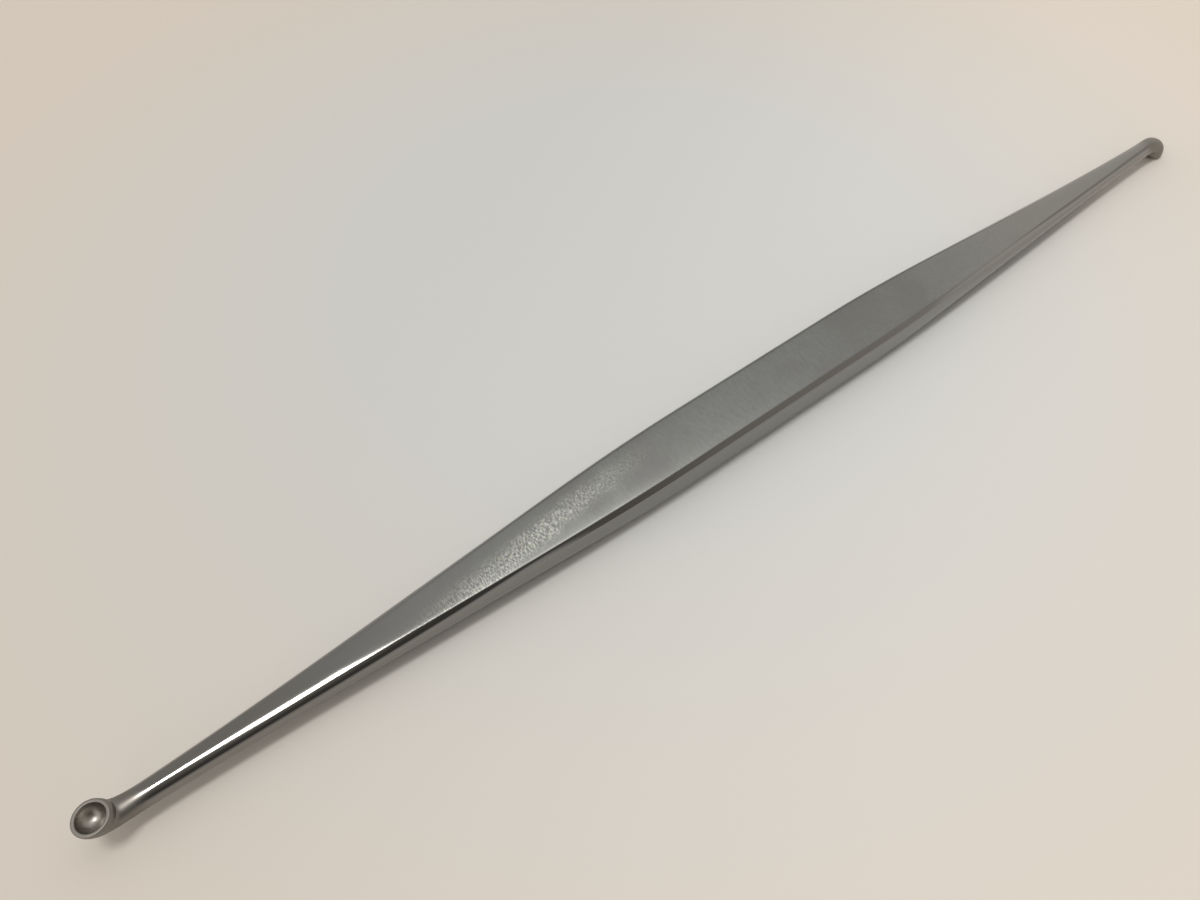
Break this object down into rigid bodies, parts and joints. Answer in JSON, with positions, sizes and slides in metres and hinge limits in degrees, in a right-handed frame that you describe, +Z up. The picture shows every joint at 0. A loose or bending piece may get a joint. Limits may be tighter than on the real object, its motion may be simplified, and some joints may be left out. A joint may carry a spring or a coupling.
{
  "type": "curette",
  "caption": "Double-ended stainless steel curette with a flat tapered handle, slim round necks and a small scooped cup at each end, for scraping bone and soft tissue.",
  "frame": {"origin": "centre of the underside of the handle, on the surface that the curette lies on, midway between the two tips", "axes": "+X along the handle, from the cup that opens upwards to the cup that opens downwards; +Z up, out of the upper flat of the handle; +Y across the handle"},
  "size_m": [0.14, 0.0064, 0.0039],
  "materials": {
    "stainless_steel": "satin brushed stainless steel, ground across the flats and polished on the necks and cups"
  },
  "bodies": {
    "root": {"curette": "stainless_steel"}
  },
  "joints": []
}
